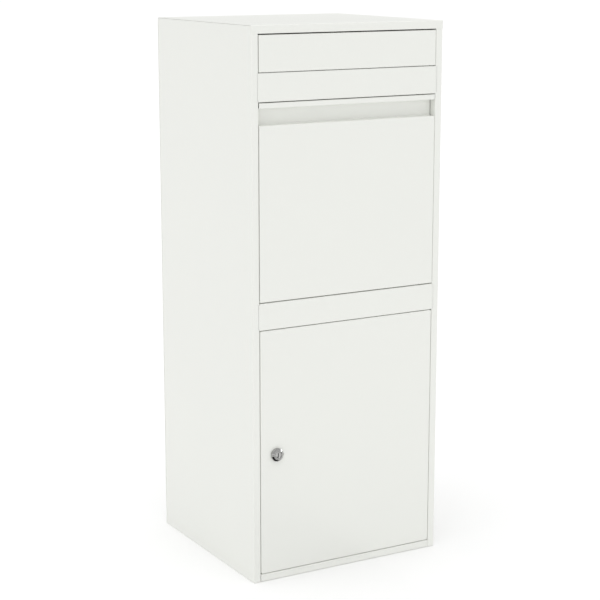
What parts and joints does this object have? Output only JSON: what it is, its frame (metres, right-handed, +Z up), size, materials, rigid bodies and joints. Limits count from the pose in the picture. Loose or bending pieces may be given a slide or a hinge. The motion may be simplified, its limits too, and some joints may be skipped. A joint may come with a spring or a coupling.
{
  "type": "parcel drop box",
  "caption": "Tall folded-steel parcel drop box with an inward letter flap, a tilting parcel hopper with a finger recess, and a hinged door with a cam lock.",
  "frame": {"origin": "centre of the cabinet's footprint, on the underside of the floor pan", "axes": "+Z up; the front with the flap, hopper and door faces -Y; +X is to the right seen from the front, on the door's hinge side"},
  "size_m": [0.4, 0.387, 1.02],
  "materials": {
    "body_paint": "smooth off-white polyester powder coat, satin, with a very fine orange peel",
    "inner_paint": "the same powder coat inside, thinner and a little duller",
    "zinc_steel": "bright zinc-plated steel",
    "chrome": "polished chrome plate",
    "spring_steel": "drawn spring wire, lightly oiled",
    "bumper_rubber": "matte black rubber"
  },
  "bodies": {
    "cabinet": {"left_side_panel": "body_paint", "right_side_panel": "body_paint", "top_cover": "body_paint", "back_panel": "body_paint", "bottom_rail": "body_paint", "mid_rail": "body_paint", "letter_strip": "body_paint", "floor_pan": "inner_paint", "letter_chute": "inner_paint", "hopper_hinge_pin_left": "zinc_steel", "hopper_hinge_pin_right": "zinc_steel", "door_stop_bracket_lower": "zinc_steel", "door_stop_bracket_upper": "zinc_steel", "letter_flap_bumper_left": "bumper_rubber", "letter_flap_bumper_right": "bumper_rubber", "hopper_bumper_left": "bumper_rubber", "hopper_bumper_right": "bumper_rubber", "door_bumper_lower": "bumper_rubber", "door_bumper_upper": "bumper_rubber"},
    "letter_flap": {"letter_flap": "body_paint", "letter_flap_rod": "zinc_steel", "flap_rod_bracket_left": "zinc_steel", "flap_rod_bracket_right": "zinc_steel", "flap_spring_left": "spring_steel", "flap_spring_right": "spring_steel"},
    "hopper": {"hopper_front": "body_paint", "hopper_tray": "inner_paint", "hopper_stiffener": "inner_paint", "hopper_cheek_left": "inner_paint", "hopper_cheek_right": "inner_paint", "hopper_stop_left": "zinc_steel", "hopper_stop_right": "zinc_steel"},
    "door": {"door_panel": "body_paint", "door_stiffener": "inner_paint", "door_hinge_pin_top": "zinc_steel", "door_hinge_pin_bottom": "zinc_steel", "lock_housing": "chrome", "lock_washer": "zinc_steel", "lock_nut": "zinc_steel"},
    "lock": {"lock_plug": "chrome", "lock_cam": "zinc_steel", "cam_screw": "zinc_steel"}
  },
  "joints": [
    {"name": "hopper_tilt", "type": "hinge", "parent": "cabinet", "child": "hopper", "pos_m": [0, -0.185, 0.53425], "axis": [1, 0, 0], "range_deg": [0, 45]},
    {"name": "letter_flap_swing", "type": "hinge", "parent": "cabinet", "child": "letter_flap", "pos_m": [0, -0.184, 0.9969], "axis": [1, 0, 0], "range_deg": [0, 60], "stiffness_Nm_per_rad": 0.05, "springref_deg": -68.75},
    {"name": "door_swing", "type": "hinge", "parent": "cabinet", "child": "door", "pos_m": [0.1795, -0.1858, 0.0153], "axis": [0, 0, 1], "range_deg": [0, 100]},
    {"name": "lock_turn", "type": "hinge", "parent": "door", "child": "lock", "pos_m": [-0.152, -0.19, 0.242], "axis": [0, 1, 0], "range_deg": [0, 90]}
  ]
}
